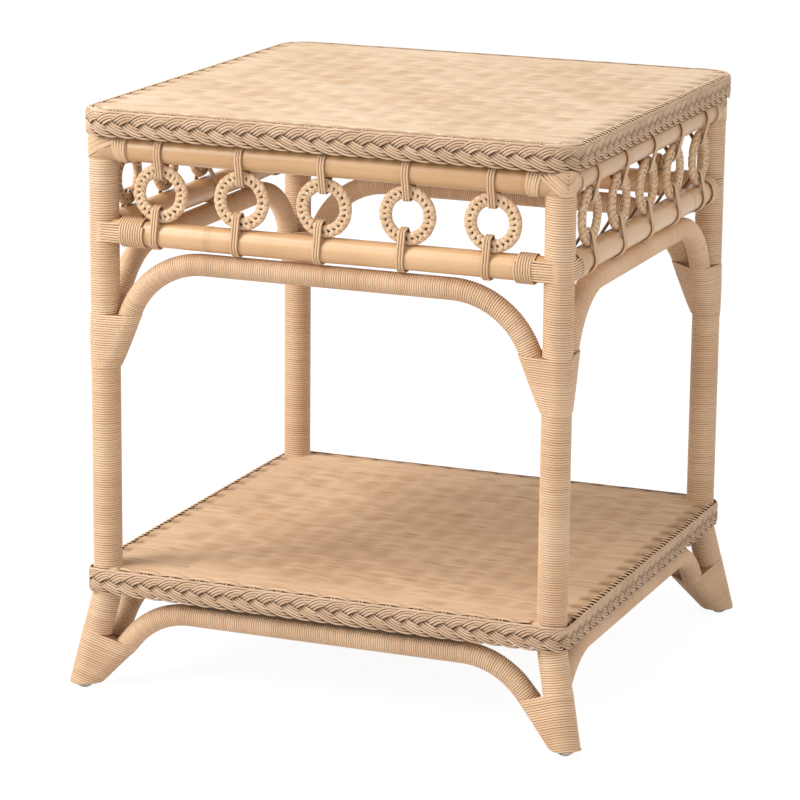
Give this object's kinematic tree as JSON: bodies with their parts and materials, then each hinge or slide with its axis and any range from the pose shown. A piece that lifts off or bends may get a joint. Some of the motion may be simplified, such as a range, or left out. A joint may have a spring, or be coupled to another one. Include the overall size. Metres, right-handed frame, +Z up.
{
  "type": "side table",
  "caption": "Square rattan side table with a woven top, a woven lower shelf, splayed feet, arched braces and a frieze of bound rings under the top.",
  "frame": {"origin": "on the floor under the middle of the table", "axes": "+Z up; the front, the side that the picture shows more of, faces -Y, and +X is to its right"},
  "size_m": [0.5074, 0.4946, 0.55],
  "materials": {
    "pole_core": "bare rattan pole under the winding",
    "rattan_pole": "varnished rattan pole, soft sheen",
    "reed_winding": "fine round reed, satin",
    "cane_hoop": "thin cane bound with peel, satin",
    "peel": "flat rattan peel, satin",
    "plywood": "plain plywood, matt",
    "woven_top": "woven fine reed, matt",
    "woven_shelf": "woven fine reed, matt",
    "braid": "braided fine reed, matt",
    "glide": "grey-white plastic, satin",
    "steel": "bright wire nails and screws"
  },
  "bodies": {
    "root": {"leg_front_left": "pole_core", "leg_front_right": "pole_core", "leg_back_right": "pole_core", "leg_back_left": "pole_core", "leg_winding_front_left": "reed_winding", "leg_winding_front_right": "reed_winding", "leg_winding_back_right": "reed_winding", "leg_winding_back_left": "reed_winding", "upper_rail_front": "rattan_pole", "upper_rail_right": "rattan_pole", "upper_rail_back": "rattan_pole", "upper_rail_left": "rattan_pole", "lower_rail_front": "rattan_pole", "lower_rail_right": "rattan_pole", "lower_rail_back": "rattan_pole", "lower_rail_left": "rattan_pole", "upper_arch_front": "pole_core", "upper_arch_right": "pole_core", "upper_arch_back": "pole_core", "upper_arch_left": "pole_core", "upper_arch_winding_front": "reed_winding", "upper_arch_winding_right": "reed_winding", "upper_arch_winding_back": "reed_winding", "upper_arch_winding_left": "reed_winding", "lower_arch_front": "pole_core", "lower_arch_right": "pole_core", "lower_arch_back": "pole_core", "lower_arch_left": "pole_core", "lower_arch_winding_front": "reed_winding", "lower_arch_winding_right": "reed_winding", "lower_arch_winding_back": "reed_winding", "lower_arch_winding_left": "reed_winding", "rings_front": "cane_hoop", "rings_right": "cane_hoop", "rings_back": "cane_hoop", "rings_left": "cane_hoop", "ring_ties_front": "peel", "ring_ties_right": "peel", "ring_ties_back": "peel", "ring_ties_left": "peel", "rail_bindings_front": "reed_winding", "rail_bindings_right": "reed_winding", "rail_bindings_back": "reed_winding", "rail_bindings_left": "reed_winding", "joint_winding_front_left": "reed_winding", "joint_winding_front_right": "reed_winding", "joint_winding_back_right": "reed_winding", "joint_winding_back_left": "reed_winding", "corner_knots": "peel", "foot_windings": "reed_winding", "top_board": "plywood", "top_weave": "woven_top", "top_braid": "braid", "shelf_board": "plywood", "shelf_weave": "woven_shelf", "shelf_braid": "braid", "shelf_battens": "plywood", "glides": "glide", "frame_nails": "steel", "board_screws": "steel"}
  },
  "joints": []
}
